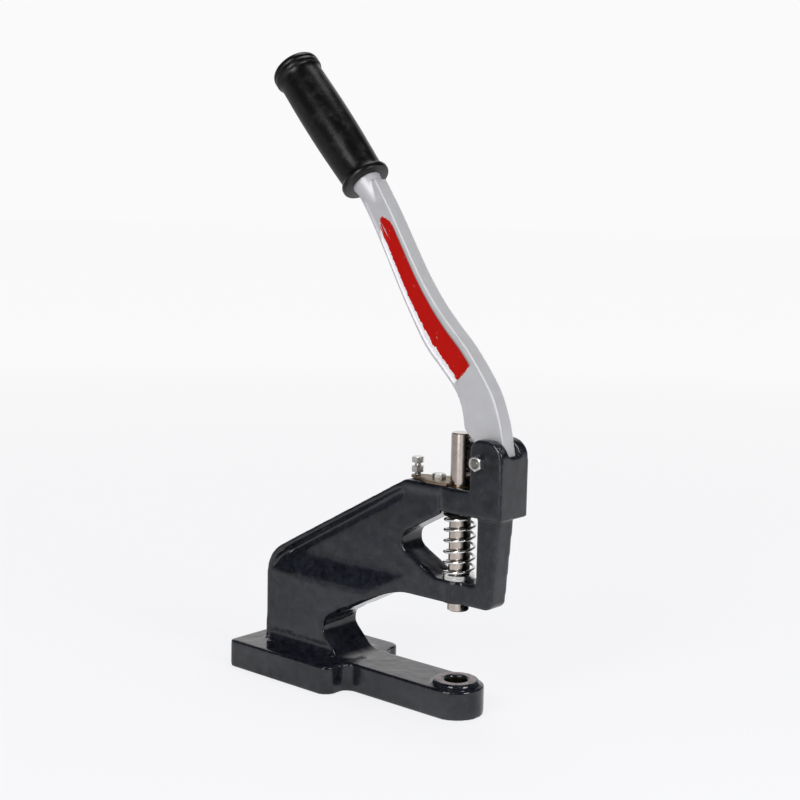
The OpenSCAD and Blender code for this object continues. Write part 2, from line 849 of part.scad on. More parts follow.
module lever() {
    color("#b8babd")
        difference() {
            union() {
                translate([pivot_x, 0, pivot_z]) {
                    across(lever_t) lever_outline();
                    across(rack_w - 2 * RUN) sector_outline();
                }
                along_grip() {
                    cylinder(d = tang_d, h = tang_len);
                    translate([0, 0, -tang_cone])
                        cylinder(d1 = lever_t - 1, d2 = tang_d, h = tang_cone);
                }
            }
            pivot_rod(bush_d / 2, -FAR, FAR);
            for (side = [-1, 1])
                translate([pivot_x, side * (lever_t - panel_depth), pivot_z])
                    across(lever_t) panel_outline();
        }
}

module pivot_bush() {
    color("#b08d57")
        difference() {
            pivot_rod(bush_d / 2, -lever_t / 2, lever_t / 2);
            pivot_rod(shoulder_d / 2 + FIT, -lever_t, lever_t);
        }
}

// A moulded rubber grip with two flanges, a slightly bulged barrel and a domed end
module handle_grip() {
    flange_t = 6;
    flange_r = grip_flange_d / 2;
    neck_r_low = grip_neck_d / 2;
    neck_r_high = (grip_neck_d + grip_d) / 4 + 0.3;
    mid_r = grip_d / 2;
    bore_end = tang_len + RUN;
    dome = 3;
    barrel_foot = flange_t;
    barrel_top = grip_len - flange_t - dome;
    // The barrel bulges along a sine from one neck to the other
    barrel = [for (k = [0:12])
        let (u = k / 12)
        let (chord = neck_r_low + (neck_r_high - neck_r_low) * u)
        [chord + (mid_r - (neck_r_low + neck_r_high) / 2) * sin(180 * u),
            barrel_foot + (barrel_top - barrel_foot) * u]];
    crown = [for (k = [0:6])
        let (a = 90 * k / 6)
        [flange_r - dome * 2 * (1 - cos(a)), grip_len - dome + dome * sin(a)]];
    color("#161617")
        along_grip()
            difference() {
                rotate_extrude()
                    polygon(concat(
                        [[0, 0], [flange_r - 1.5, 0], [flange_r, 1.5], [flange_r, flange_t - 1.5],
                            [neck_r_low + 0.5, flange_t]],
                        barrel,
                        [[flange_r, barrel_top + 1.5]],
                        crown,
                        [[0, grip_len]]
                    ));
                translate([0, 0, -1]) cylinder(d = tang_d + 2 * FIT, h = bore_end + 1);
            }
}

// ---- pivot hardware ----

washer_t = 1.2;

// A shoulder bolt: hexagon head on the far side, thread and nut on the near side
module pivot_bolt() {
    head_t = 6;
    near_face = -head_r;
    head_y = head_r + washer_t;
    color("#a9adb3") {
        pivot_rod(shoulder_d / 2, -slot_w / 2 + FIT, head_y);
        pivot_rod(thread_d / 2, near_face - nut_t - 0.5, -slot_w / 2 + FIT);
        translate([pivot_x, head_y + head_t, pivot_z])
            rotate([90, 0, 0]) hex_prism(bolt_head_af, head_t);
    }
}

module pivot_washer() {
    color("#b9bcc0")
        difference() {
            pivot_rod(shoulder_d, head_r, head_r + washer_t);
            pivot_rod(shoulder_d / 2 + FIT, 0, FAR);
        }
}

module pivot_nut() {
    color("#c9ccd1")
        difference() {
            translate([pivot_x, -head_r, pivot_z])
                rotate([90, 0, 0]) rotate(30) hex_prism(hex_af, nut_t);
            pivot_rod(thread_d / 2 + FIT, -FAR, 0);
        }
}

// ---- guide plate and its screws ----

// The plate from above, as wide as the head beside the ram and narrow at the adjusting screw
module plate_outline() {
    half = plate_w / 2;
    steps = 12;
    polygon(concat(
        [[-3, -half], [-3, half], [-plate_wide_back, half]],
        [for (k = [0:steps])
            [-adjuster_x - plate_tail_r * sin(180 * k / steps), plate_tail_r * cos(180 * k / steps)]],
        [[-plate_wide_back, -half]]
    ));
}

// The plate lies on the head behind the ram, and its tongue runs in the ram's keyway
module guide_plate() {
    tongue_tip = ram_r - keyway_depth + RUN;
    color("#8f7a55")
        translate([0, 0, head_top])
            difference() {
                linear_extrude(plate_t) {
                    difference() {
                        plate_outline();
                        circle(ram_r + RUN);
                    }
                    translate([-ram_r - 3, -keyway_w / 2 + RUN])
                        square([ram_r + 3 - tongue_tip, keyway_w - 2 * RUN]);
                }
                translate([-plate_bolt_x, 0, -1])
                    cylinder(r = thread_d / 2 + FIT, h = plate_t + 2);
                translate([-adjuster_x, 0, -1])
                    cylinder(r = adjuster_d / 2 + FIT, h = plate_t + 2);
            }
}

module plate_bolt() {
    color("#a9adb3")
        translate([-plate_bolt_x, 0, 0]) {
            translate([0, 0, plate_top]) rotate(28) hex_prism(plate_bolt_af, 3.8);
            translate([0, 0, head_top - plate_bolt_depth + 1])
                cylinder(d = thread_d, h = plate_top - head_top + plate_bolt_depth - 1);
        }
}

module adjuster_screw() {
    head_t = 4.2;
    color("#c9ccd1")
        translate([-adjuster_x, 0, head_top]) {
            cylinder(d = adjuster_d, h = adjuster_h - head_t);
            translate([0, 0, adjuster_h - head_t]) hex_prism(adjuster_af, head_t);
        }
}

module adjuster_lock_nut() {
    color("#c9ccd1")
        translate([-adjuster_x, 0, plate_top + 2.3])
            difference() {
                hex_prism(adjuster_af, 4.6);
                translate([0, 0, -1]) cylinder(r = adjuster_d / 2 + FIT, h = 7);
            }
}

frame_casting();
upper_guide_bush();
lower_guide_bush();
ram();
die_set_screw();
upper_spring_washer();
retaining_ring();
return_spring();
lower_spring_washer();
lever();
pivot_bush();
handle_grip();
pivot_bolt();
pivot_washer();
pivot_nut();
guide_plate();
plate_bolt();
adjuster_screw();
adjuster_lock_nut();
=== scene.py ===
"""A hand-lever eyelet machine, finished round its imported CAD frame.

Metres, in the CAD's frame: X forward along the base, Y across it, Z up. The origin is under the
ram, on the base's underside. Lengths below are written in millimetres and turned by MM.
"""

import math

import bpy
import numpy as np
from mathutils import Matrix, Vector


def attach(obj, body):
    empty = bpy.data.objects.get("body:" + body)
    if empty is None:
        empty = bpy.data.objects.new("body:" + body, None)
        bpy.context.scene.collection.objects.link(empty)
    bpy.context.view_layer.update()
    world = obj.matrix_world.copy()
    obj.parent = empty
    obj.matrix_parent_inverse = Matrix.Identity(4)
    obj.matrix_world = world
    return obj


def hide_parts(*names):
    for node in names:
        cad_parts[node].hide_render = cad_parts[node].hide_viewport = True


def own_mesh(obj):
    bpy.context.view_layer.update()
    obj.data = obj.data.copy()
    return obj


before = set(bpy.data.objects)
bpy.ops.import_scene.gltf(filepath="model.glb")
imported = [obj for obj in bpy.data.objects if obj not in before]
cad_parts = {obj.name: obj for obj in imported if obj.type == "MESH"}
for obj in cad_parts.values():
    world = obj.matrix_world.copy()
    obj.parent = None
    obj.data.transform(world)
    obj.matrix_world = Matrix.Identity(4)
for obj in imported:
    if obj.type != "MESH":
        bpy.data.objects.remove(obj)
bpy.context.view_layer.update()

MM = 0.001

# ---- places and sizes that the pieces share with the CAD, in millimetres ----
# A half is measured across the machine, from its middle plane

BASE_TOP = 22.0
BOSS_TOP = 25.6
BOSS_R = 17.0
DIE_BORE_R = 8.5
LEG_HALF = 20.0
FOOT_R = 24.0
GUIDE_R = 10.0
HEAD_TOP = 171.5
PLATE_TOP = HEAD_TOP + 2
FORK_HALF = 16.5
FORK_REAR = 19.5
SLOT_HALF = 6.9
STOP_X = 44.5
STOP_TOP = 199.0
PIVOT_X = 28.0
PIVOT_Z = 193.0
PIVOT = (PIVOT_X, 0, PIVOT_Z)
SHOULDER_R = 5.0
THREAD_R = 3.0
FIT = 0.05
GRIP_LEAN = 41.6
GRIP_FOOT = (PIVOT_X - 125.4, PIVOT_Z + 195.8)


# ---- small tools ----


def pick(piece):
    """Leaves one piece selected and active."""
    bpy.ops.object.select_all(action="DESELECT")
    piece.select_set(True)
    bpy.context.view_layer.objects.active = piece


def modify(piece, kind, **settings):
    """Adds a modifier, sets it and applies it."""
    pick(piece)
    bpy.ops.object.modifier_add(type=kind)
    modifier = piece.modifiers[-1]
    for key, value in settings.items():
        setattr(modifier, key, value)
    bpy.ops.object.modifier_apply(modifier=modifier.name)


def editing(piece, *steps):
    """Runs mesh operators on all of a piece in edit mode."""
    pick(piece)
    bpy.ops.object.mode_set(mode="EDIT")
    bpy.ops.mesh.select_all(action="SELECT")
    for step, settings in steps:
        step(**settings)
    bpy.ops.object.mode_set(mode="OBJECT")


def settle(piece):
    """Puts a piece's place into its mesh, so that its object stands at the origin."""
    pick(piece)
    bpy.ops.object.transform_apply(location=True, rotation=True, scale=True)


def soften(piece, angle):
    """Smooth shading, with edges kept where faces meet at more than the angle."""
    pick(piece)
    bpy.ops.object.shade_smooth_by_angle(angle=math.radians(angle))


def copy_of(node, name):
    """A piece that starts as a CAD node's mesh, with its loose triangles joined."""
    piece = bpy.data.objects.new(name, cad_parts[node].data.copy())
    bpy.context.scene.collection.objects.link(piece)
    pick(piece)
    bpy.ops.mesh.customdata_custom_splitnormals_clear()
    editing(piece, (bpy.ops.mesh.remove_doubles, {"threshold": 1e-6}))
    piece.data.materials.clear()
    return piece


def spots_of(piece):
    """Where a piece's points are, in mm, with a row for each."""
    spots = np.empty(len(piece.data.vertices) * 3)
    piece.data.vertices.foreach_get("co", spots)
    return spots.reshape(-1, 3) / MM


def move_spots(piece, spots):
    """Puts a piece's points at new places, in mm."""
    piece.data.vertices.foreach_set("co", (spots * MM).ravel())
    piece.data.update()


def smooth_by(piece, weights, iterations):
    """Smooths a piece by each point's own weight: not at all from 0 down, fully from 1 up."""
    group = piece.vertex_groups.new(name="smoothed")
    for k in np.flatnonzero(weights > 0):
        group.add([int(k)], float(min(weights[k], 1)), "REPLACE")
    modify(piece, "SMOOTH", factor=0.5, iterations=iterations, vertex_group=group.name)


def spun(name, profile, steps=96):
    """A turned solid: its profile, as radius and height in mm, goes once round the Z axis.

    A profile is a closed loop for a ring, or runs from axis to axis for a solid piece.
    """
    bpy.ops.object.select_all(action="DESELECT")
    bpy.ops.mesh.primitive_circle_add(vertices=len(profile), fill_type="NOTHING")
    piece = bpy.context.object
    piece.name = name
    for vertex, (radius, height) in zip(piece.data.vertices, profile):
        vertex.co = (radius * MM, 0, height * MM)
    editing(
        piece,
        (bpy.ops.mesh.spin, {"steps": steps, "angle": math.tau, "axis": (0, 0, 1)}),
        (bpy.ops.mesh.select_all, {"action": "SELECT"}),
        (bpy.ops.mesh.remove_doubles, {"threshold": 1e-6}),
        (bpy.ops.mesh.delete_loose, {}),
        (bpy.ops.mesh.select_all, {"action": "SELECT"}),
        (bpy.ops.mesh.normals_make_consistent, {"inside": False}),
    )
    return piece


def hex_flank(across_flats, foot, top):
    """The outline of a hexagon head from foot to top, with a cone of 30 degrees at the top.

    The cone ends in a round top face, 0.95 times as wide as the flats are apart.
    """
    corner = across_flats / 2 / math.cos(math.pi / 6)
    rim = across_flats / 2 * 0.95
    up = 1 if top > foot else -1
    cone = [corner + (rim - corner) * k / 5 for k in range(6)]
    return [(corner, foot)] + [(r, top - up * (r - rim) * math.tan(math.pi / 6)) for r in cone]


def hexagonal(piece, across_flats):
    """Pulls a turned piece in to six flats, so that its cone makes the corners' chamfers."""
    half = across_flats / 2 * MM
    for vertex in piece.data.vertices:
        x, y, z = vertex.co
        radius = math.hypot(x, y)
        around = math.atan2(y, x)
        from_flat = around % (math.pi / 3) - math.pi / 6
        flat = half / math.cos(from_flat)
        if radius > flat:
            vertex.co = (flat * math.cos(around), flat * math.sin(around), z)


def place(piece, at=(0, 0, 0), lean=0, turn=0, lay_down=False):
    """Turns a piece that was made on the Z axis, then leans it or lays it to -Y, and moves it."""
    piece.rotation_euler = (0, 0, math.radians(turn))
    settle(piece)
    piece.location = Vector(at) * MM
    piece.rotation_euler = (math.pi / 2, 0, 0) if lay_down else (0, -math.radians(lean), 0)
    settle(piece)


def wear(piece, finish):
    """Gives a piece one finish all over."""
    piece.data.materials.clear()
    piece.data.materials.append(finish)


# ---- materials ----


def linear(colour):
    """An sRGB hex value as linear RGBA."""
    values = [int(colour[k : k + 2], 16) / 255 for k in (1, 3, 5)]
    return [v / 12.92 if v <= 0.04045 else ((v + 0.055) / 1.055) ** 2.4 for v in values] + [1]


def add(tree, kind, sockets=None, **settings):
    """Adds a node with its settings, and sets or links its sockets."""
    made = tree.nodes.new("ShaderNode" + kind)
    for key, value in settings.items():
        setattr(made, key, value)
    for key, value in (sockets or {}).items():
        if isinstance(value, bpy.types.NodeSocket):
            tree.links.new(value, made.inputs[key])
        else:
            made.inputs[key].default_value = value
    return made


def material(name, **uniform):
    """A material with a principled shader, whose uniform sockets are set here."""
    made = bpy.data.materials.new(name)
    made.use_nodes = True
    tree = made.node_tree
    shader = tree.nodes["Principled BSDF"]
    for key, value in uniform.items():
        shader.inputs[key.replace("_", " ")].default_value = value
    coords = add(tree, "TexCoord").outputs["Object"]
    return made, tree, shader, coords


def brushed_enamel_on_iron():
    """Sand-cast iron under thick black enamel: nearly black, wet-looking, with slow lumps.

    The brush leaves waves some 15 mm long, and the sand's grain shows through at 2.4 mm.
    Round the front of the fork's near ear, rubbing has dulled and greyed the enamel.
    """
    made, tree, shader, coords = material("cast_iron_brushed_enamel", IOR=1.5)
    tint = add(tree, "TexNoise", {"Vector": coords, "Scale": 1 / (7 * MM), "Detail": 6, "Roughness": 0.75})
    blotch = add(tree, "MapRange", {"Value": tint.outputs["Fac"], "From Min": 0.35, "From Max": 0.65})
    deep = add(
        tree, "Mix",
        {"Factor": blotch.outputs["Result"], "A": linear("#040508"), "B": linear("#20222a")},
        data_type="RGBA",
    )
    # Scuffs are specks of 1.4 mm, which thin out from 1.5 to 5.5 mm off the ear's rubbed spot
    rubbed_spot = Vector((45.5, -13.5, 205.5)) * MM
    off = add(tree, "VectorMath", {0: coords, 1: rubbed_spot}, operation="SUBTRACT")
    reach = add(tree, "VectorMath", {0: off.outputs[0]}, operation="LENGTH")
    near = add(
        tree, "MapRange", {"Value": reach.outputs["Value"], "From Min": 5.5 * MM, "From Max": 1.5 * MM}
    )
    speck = add(tree, "TexNoise", {"Vector": coords, "Scale": 1 / (1.4 * MM), "Detail": 3})
    rubbed = add(tree, "MapRange", {"Value": speck.outputs["Fac"], "From Min": 0.5, "From Max": 0.58})
    scuff = add(
        tree, "Math", {0: near.outputs["Result"], 1: rubbed.outputs["Result"]}, operation="MULTIPLY"
    )
    colour = add(
        tree, "Mix",
        {"Factor": scuff.outputs[0], "A": deep.outputs["Result"], "B": linear("#4c4f52")},
        data_type="RGBA",
    )
    tree.links.new(colour.outputs["Result"], shader.inputs["Base Color"])
    cloud = add(tree, "TexNoise", {"Vector": coords, "Scale": 1 / (12 * MM), "Detail": 3})
    gloss = add(
        tree, "MapRange",
        {"Value": cloud.outputs["Fac"], "From Min": 0.3, "From Max": 0.7, "To Min": 0.07, "To Max": 0.2},
    )
    rough = add(
        tree, "MapRange",
        {"Value": scuff.outputs[0], "To Min": gloss.outputs["Result"], "To Max": 0.6},
    )
    tree.links.new(rough.outputs["Result"], shader.inputs["Roughness"])
    waves = add(tree, "TexNoise", {"Vector": coords, "Scale": 1 / (15 * MM), "Detail": 1})
    sand = add(tree, "TexNoise", {"Vector": coords, "Scale": 1 / (2.4 * MM), "Detail": 3, "Roughness": 0.6})
    lumps = add(tree, "Bump", {"Height": waves.outputs["Fac"], "Distance": 0.7 * MM, "Strength": 1.0})
    grain = add(
        tree, "Bump",
        {
            "Height": sand.outputs["Fac"], "Distance": 0.1 * MM, "Strength": 1.0,
            "Normal": lumps.outputs["Normal"],
        },
    )
    tree.links.new(grain.outputs["Normal"], shader.inputs["Normal"])
    return made


def faced_iron():
    """Grey iron faced in a lathe: bare metal with rings 2.2 mm apart, drawn coarse to show."""
    made, tree, shader, coords = material("faced_grey_iron", Metallic=1.0, Roughness=0.36)
    # At a scale of 1 the node's rings are tau / 20 apart
    rings = add(
        tree, "TexWave",
        {"Vector": coords, "Scale": math.tau / 20 / (2.17 * MM), "Distortion": 0.6, "Detail": 2},
        wave_type="RINGS", rings_direction="Z",
    )
    rust = add(tree, "TexNoise", {"Vector": coords, "Scale": 1 / (5 * MM), "Detail": 4})
    patch = add(tree, "MapRange", {"Value": rust.outputs["Fac"], "From Min": 0.45, "From Max": 0.62})
    faced = add(
        tree, "Mix",
        {"Factor": rings.outputs["Fac"], "A": linear("#7c7376"), "B": linear("#938a8d")},
        data_type="RGBA",
    )
    colour = add(
        tree, "Mix",
        {"Factor": patch.outputs["Result"], "A": faced.outputs["Result"], "B": linear("#6a6158")},
        data_type="RGBA",
    )
    # Painted shade: 1.2 to 3 mm down the bore, the iron is painted a dark olive
    height = add(tree, "SeparateXYZ", {"Vector": coords}).outputs["Z"]
    down = add(
        tree, "MapRange",
        {"Value": height, "From Min": (BOSS_TOP - 1.2) * MM, "From Max": (BOSS_TOP - 3) * MM},
    )
    painted_shade_down_bore = add(
        tree, "Mix",
        {"Factor": down.outputs["Result"], "A": colour.outputs["Result"], "B": linear("#33311f")},
        data_type="RGBA",
    )
    tree.links.new(painted_shade_down_bore.outputs["Result"], shader.inputs["Base Color"])
    cut_marks = add(tree, "Bump", {"Height": rings.outputs["Fac"], "Distance": 0.02 * MM, "Strength": 1.0})
    tree.links.new(cut_marks.outputs["Normal"], shader.inputs["Normal"])
    return made


def finished_metal(name, dark, light, roughness):
    """Metal with a thin finish: its tone drifts over some 6 mm, and a grain of 0.6 mm dulls it."""
    made, tree, shader, coords = material(name, Metallic=1.0)
    drift = add(tree, "TexNoise", {"Vector": coords, "Scale": 1 / (6 * MM), "Detail": 3})
    patch = add(tree, "MapRange", {"Value": drift.outputs["Fac"], "From Min": 0.35, "From Max": 0.65})
    colour = add(
        tree, "Mix",
        {"Factor": patch.outputs["Result"], "A": linear(dark), "B": linear(light)},
        data_type="RGBA",
    )
    tree.links.new(colour.outputs["Result"], shader.inputs["Base Color"])
    grain = add(tree, "TexNoise", {"Vector": coords, "Scale": 1 / (0.6 * MM), "Detail": 2})
    rough = add(
        tree, "MapRange",
        {
            "Value": grain.outputs["Fac"], "From Min": 0.3, "From Max": 0.7,
            "To Min": roughness * 0.8, "To Max": roughness * 1.25,
        },
    )
    tree.links.new(rough.outputs["Result"], shader.inputs["Roughness"])
    tooth = add(tree, "Bump", {"Height": grain.outputs["Fac"], "Distance": 0.01 * MM, "Strength": 1.0})
    tree.links.new(tooth.outputs["Normal"], shader.inputs["Normal"])
    return made


def ram_steel_with_painted_shade():
    """Ground bright steel under thin oil, with painted shade and dark reflection down its rack side."""
    made, tree, shader, coords = material("ground_steel_with_painted_shade", Metallic=1.0)
    drift = add(tree, "TexNoise", {"Vector": coords, "Scale": 1 / (6 * MM), "Detail": 3})
    bright = add(
        tree, "Mix",
        {"Factor": drift.outputs["Fac"], "A": linear("#b0a59d"), "B": linear("#d6ccc4")},
        data_type="RGBA",
    )
    # Painted shade and dark reflection: the front, past some 6.3 to 8.3 mm forward, is dark and rougher
    forward = add(tree, "SeparateXYZ", {"Vector": coords}).outputs["X"]
    edge = add(tree, "Math", {0: drift.outputs["Fac"], 1: 2.5 * MM, 2: forward}, operation="MULTIPLY_ADD")
    painted_shade = add(tree, "MapRange", {"Value": edge.outputs[0], "From Min": 6.3 * MM, "From Max": 8.3 * MM})
    colour = add(
        tree, "Mix",
        {"Factor": painted_shade.outputs["Result"], "A": bright.outputs["Result"], "B": linear("#2b2823")},
        data_type="RGBA",
    )
    tree.links.new(colour.outputs["Result"], shader.inputs["Base Color"])
    rough = add(tree, "MapRange", {"Value": painted_shade.outputs["Result"], "To Min": 0.16, "To Max": 0.34})
    tree.links.new(rough.outputs["Result"], shader.inputs["Roughness"])
    # Marks of the grinding run round the ram, some 5 mm long and 0.3 mm apart
    grinding = add(tree, "VectorMath", {0: coords, 1: (200, 200, 3500)}, operation="MULTIPLY")
    lines = add(tree, "TexNoise", {"Vector": grinding.outputs[0], "Scale": 1.0, "Detail": 2})
    fine = add(tree, "Bump", {"Height": lines.outputs["Fac"], "Distance": 0.004 * MM, "Strength": 1.0})
    tree.links.new(fine.outputs["Normal"], shader.inputs["Normal"])
    return made


def moulded_rubber():
    """Moulded rubber: deep black, half gloss, with cloudy scuffs and the mould's fine grain."""
    made, tree, shader, coords = material("moulded_black_rubber", IOR=1.5, Specular_IOR_Level=0.32)
    worn = add(tree, "TexNoise", {"Vector": coords, "Scale": 1 / (9 * MM), "Detail": 5, "Roughness": 0.65})
    patch = add(tree, "MapRange", {"Value": worn.outputs["Fac"], "From Min": 0.5, "From Max": 0.75})
    colour = add(
        tree, "Mix",
        {"Factor": patch.outputs["Result"], "A": linear("#060606"), "B": linear("#1c1b1a")},
        data_type="RGBA",
    )
    tree.links.new(colour.outputs["Result"], shader.inputs["Base Color"])
    rough = add(tree, "MapRange", {"Value": patch.outputs["Result"], "To Min": 0.3, "To Max": 0.46})
    tree.links.new(rough.outputs["Result"], shader.inputs["Roughness"])
    grain = add(tree, "TexNoise", {"Vector": coords, "Scale": 1 / (0.5 * MM), "Detail": 2})
    swell = add(tree, "TexNoise", {"Vector": coords, "Scale": 1 / (7 * MM), "Detail": 2})
    fine = add(tree, "Bump", {"Height": grain.outputs["Fac"], "Distance": 0.02 * MM, "Strength": 1.0})
    slow = add(
        tree, "Bump",
        {
            "Height": swell.outputs["Fac"], "Distance": 0.12 * MM, "Strength": 1.0,
            "Normal": fine.outputs["Normal"],
        },
    )
    tree.links.new(slow.outputs["Normal"], shader.inputs["Normal"])
    return made


def silver_and_red_paint():
    """Aluminium paint on a casting, with red enamel brushed by hand into the sunk side panels.

    The attribute "panel" holds how far across the lever a point is, how far along it, and
    whether it is on a flat side. The brush left the panel's rear margin bare and ragged; that
    margin is painted lighter as a painted highlight. A painted shadow line runs along the red's
    front edge, and painted shade darkens the sector beside the ram.
    """
    made, tree, shader, coords = material("silver_paint_and_brushed_red_enamel", Specular_IOR_Level=0.1)
    spot = add(tree, "SeparateXYZ", {"Vector": coords}).outputs
    chart = add(tree, "Attribute", attribute_name="panel")
    across, along, flat = add(tree, "SeparateXYZ", {"Vector": chart.outputs["Vector"]}).outputs
    ragged = add(
        tree, "TexNoise", {"Vector": coords, "Scale": 1 / (3.5 * MM), "Detail": 4, "Roughness": 0.6}
    ).outputs["Fac"]
    # The red's rear edge wanders between shares of 0.19 and 0.26 across the lever
    rear = add(
        tree, "MapRange",
        {"Value": ragged, "From Min": 0.3, "From Max": 0.7, "To Min": 0.19, "To Max": 0.26},
    ).outputs[0]
    past_rear = add(tree, "Math", {0: across, 1: rear}, operation="SUBTRACT").outputs[0]
    # Its foot is cut off on a slant, and its top is rounded
    slant = add(tree, "Math", {0: across, 1: 0.05, 2: 0.22}, operation="MULTIPLY_ADD").outputs[0]
    foot = add(tree, "Math", {0: ragged, 1: 0.012, 2: slant}, operation="MULTIPLY_ADD").outputs[0]
    past_foot = add(tree, "Math", {0: along, 1: foot}, operation="SUBTRACT").outputs[0]
    off_middle = add(tree, "Math", {0: across, 1: 0.5}, operation="SUBTRACT").outputs[0]
    curve = add(tree, "Math", {0: off_middle, 1: off_middle}, operation="MULTIPLY").outputs[0]
    dome = add(tree, "Math", {0: curve, 1: 0.35, 2: along}, operation="MULTIPLY_ADD").outputs[0]
    to_top = add(tree, "Math", {0: ragged, 1: 0.03, 2: dome}, operation="MULTIPLY_ADD").outputs[0]
    # Near its top the brush left bare streaks, some 1 mm wide and 9 mm long
    chart_spot = add(tree, "CombineXYZ", {"X": across, "Y": along}).outputs[0]
    strokes = add(tree, "VectorMath", {0: chart_spot, 1: (26, 26, 0)}, operation="MULTIPLY").outputs[0]
    streaks = add(tree, "TexNoise", {"Vector": strokes, "Scale": 1.0, "Detail": 2}).outputs["Fac"]
    near_top = add(
        tree, "MapRange", {"Value": along, "From Min": 0.66, "From Max": 0.76, "To Max": 0.2}
    ).outputs[0]
    near_rear = add(tree, "MapRange", {"Value": across, "From Min": 0.55, "From Max": 0.35}).outputs[0]
    bare = add(tree, "Math", {0: near_top, 1: near_rear, 2: streaks}, operation="MULTIPLY_ADD").outputs[0]

    # Each limit rises from 0 at its first value to 1 at its second
    limits = {"flat": flat}
    for name, (value, none, whole) in {
        "red_rear": (past_rear, -0.006, 0.006),
        "red_front": (across, 0.805, 0.79),
        "foot": (past_foot, -0.001, 0.001),
        "top": (to_top, 0.807, 0.803),
        "covered": (bare, 0.76, 0.72),
        # The paler margin behind the red is painted lighter, as a painted highlight
        "margin_front": (across, 0.34, 0.3),
        "margin_rear": (across, 0.05, 0.09),
        # A painted shadow line lies along the red's front edge
        "shadow_line_rear": (across, 0.79, 0.8),
        "shadow_line_front": (across, 0.86, 0.82),
        # Painted shade darkens the hub's sector beside the ram
        "beside_ram": (spot["X"], (PIVOT_X - 11) * MM, (PIVOT_X - 13.5) * MM),
        "low_on_hub": (spot["Z"], (PIVOT_Z + 15) * MM, (PIVOT_Z + 11) * MM),
    }.items():
        ramp = add(tree, "MapRange", {"Value": value, "From Min": none, "From Max": whole})
        limits[name] = ramp.outputs[0]

    # The red, the paler margin behind it with a painted highlight, a painted shadow line before it,
    # and painted shade on the sector beside the ram
    masks = {}
    for mask, within in {
        "red": ("red_rear", "red_front", "foot", "top", "flat", "covered"),
        "margin": ("margin_front", "margin_rear", "foot", "top", "flat"),
        "painted_shadow_line": ("shadow_line_rear", "shadow_line_front", "foot", "top"),
        "painted_shade": ("beside_ram", "low_on_hub"),
    }.items():
        share = 0.7 if mask == "painted_shadow_line" else 1.0
        for name in within:
            share = add(tree, "Math", {0: share, 1: limits[name]}, operation="MULTIPLY").outputs[0]
        masks[mask] = share

    cloud = add(tree, "TexNoise", {"Vector": coords, "Scale": 1 / (9 * MM), "Detail": 4})
    silver = add(
        tree, "Mix",
        {"Factor": cloud.outputs["Fac"], "A": linear("#b2b2b5"), "B": linear("#bfbfc1")},
        data_type="RGBA",
    )
    red = add(
        tree, "Mix",
        {"Factor": ragged, "A": linear("#a00500"), "B": linear("#a90a00")},
        data_type="RGBA",
    )
    colour = silver.outputs["Result"]
    # Over the silver: a painted highlight, a painted shadow line, painted shade, then the red
    for mask, layer in {
        "margin": linear("#e6e3e7"),
        "painted_shadow_line": linear("#6f746c"),
        "painted_shade": linear("#1d1b18"),
        "red": red.outputs["Result"],
    }.items():
        laid = add(tree, "Mix", {"Factor": masks[mask], "A": colour, "B": layer}, data_type="RGBA")
        colour = laid.outputs["Result"]
    tree.links.new(colour, shader.inputs["Base Color"])
    for socket, of_silver, of_red in (("Metallic", 0.3, 0.0), ("Roughness", 0.4, 0.5)):
        level = add(tree, "MapRange", {"Value": masks["red"], "To Min": of_silver, "To Max": of_red})
        tree.links.new(level.outputs["Result"], shader.inputs[socket])
    dents = add(tree, "TexNoise", {"Vector": coords, "Scale": 1 / (8 * MM), "Detail": 2})
    peel = add(tree, "TexNoise", {"Vector": coords, "Scale": 1 / (1.2 * MM), "Detail": 2})
    slow = add(tree, "Bump", {"Height": dents.outputs["Fac"], "Distance": 0.2 * MM, "Strength": 1.0})
    fine = add(
        tree, "Bump",
        {
            "Height": peel.outputs["Fac"], "Distance": 0.03 * MM, "Strength": 1.0,
            "Normal": slow.outputs["Normal"],
        },
    )
    tree.links.new(fine.outputs["Normal"], shader.inputs["Normal"])
    return made


ENAMEL = brushed_enamel_on_iron()
FACED_IRON = faced_iron()
RUBBER = moulded_rubber()
PAINT = silver_and_red_paint()
ZINC = finished_metal("bright_zinc_plated_steel", "#c4c4c2", "#dededb", 0.26)
DULL_STEEL = finished_metal("plain_steel_dulled_by_oil", "#77766f", "#8b8a83", 0.42)
BLACK_OXIDE = finished_metal("black_oxide_steel", "#161515", "#232222", 0.4)
# The ram's steel, with painted shade and dark reflection down its front
RAM_STEEL_WITH_PAINTED_SHADE = ram_steel_with_painted_shade()
TANNED_STEEL = finished_metal("sheared_steel_with_old_oil", "#71634f", "#8f7f6c", 0.42)
SPRING_WIRE = finished_metal("drawn_spring_wire", "#d2d2d0", "#ececea", 0.2)
BRONZE = finished_metal("turned_bearing_bronze", "#7d6238", "#97794a", 0.4)

# ---- casting ----

# The lower edge of the arm's rim, as X and Z
RIM_REAR = (-159, 100.8)
RIM_FRONT = (-50, 162.2)

# How far up and forward a cut runs to be clear of the casting
CLEAR_UP = 300
CLEAR_FORWARD = 80


def cut(piece, *cutters):
    """Takes the cutters' solids out of a piece, with the cut faces finished as the cutter is."""
    for cutter in cutters:
        modify(
            piece, "BOOLEAN",
            operation="DIFFERENCE", solver="EXACT", object=cutter, material_mode="TRANSFER",
        )
        bpy.data.objects.remove(cutter)


def rod(radius, foot, top, at=(0, 0, 0), lay_down=False, finish=ENAMEL, steps=64):
    """A plain cylinder for a cut."""
    piece = spun("cutter", [(0, foot), (radius, foot), (radius, top), (0, top)], steps=steps)
    place(piece, at, lay_down=lay_down)
    wear(piece, finish)
    return piece


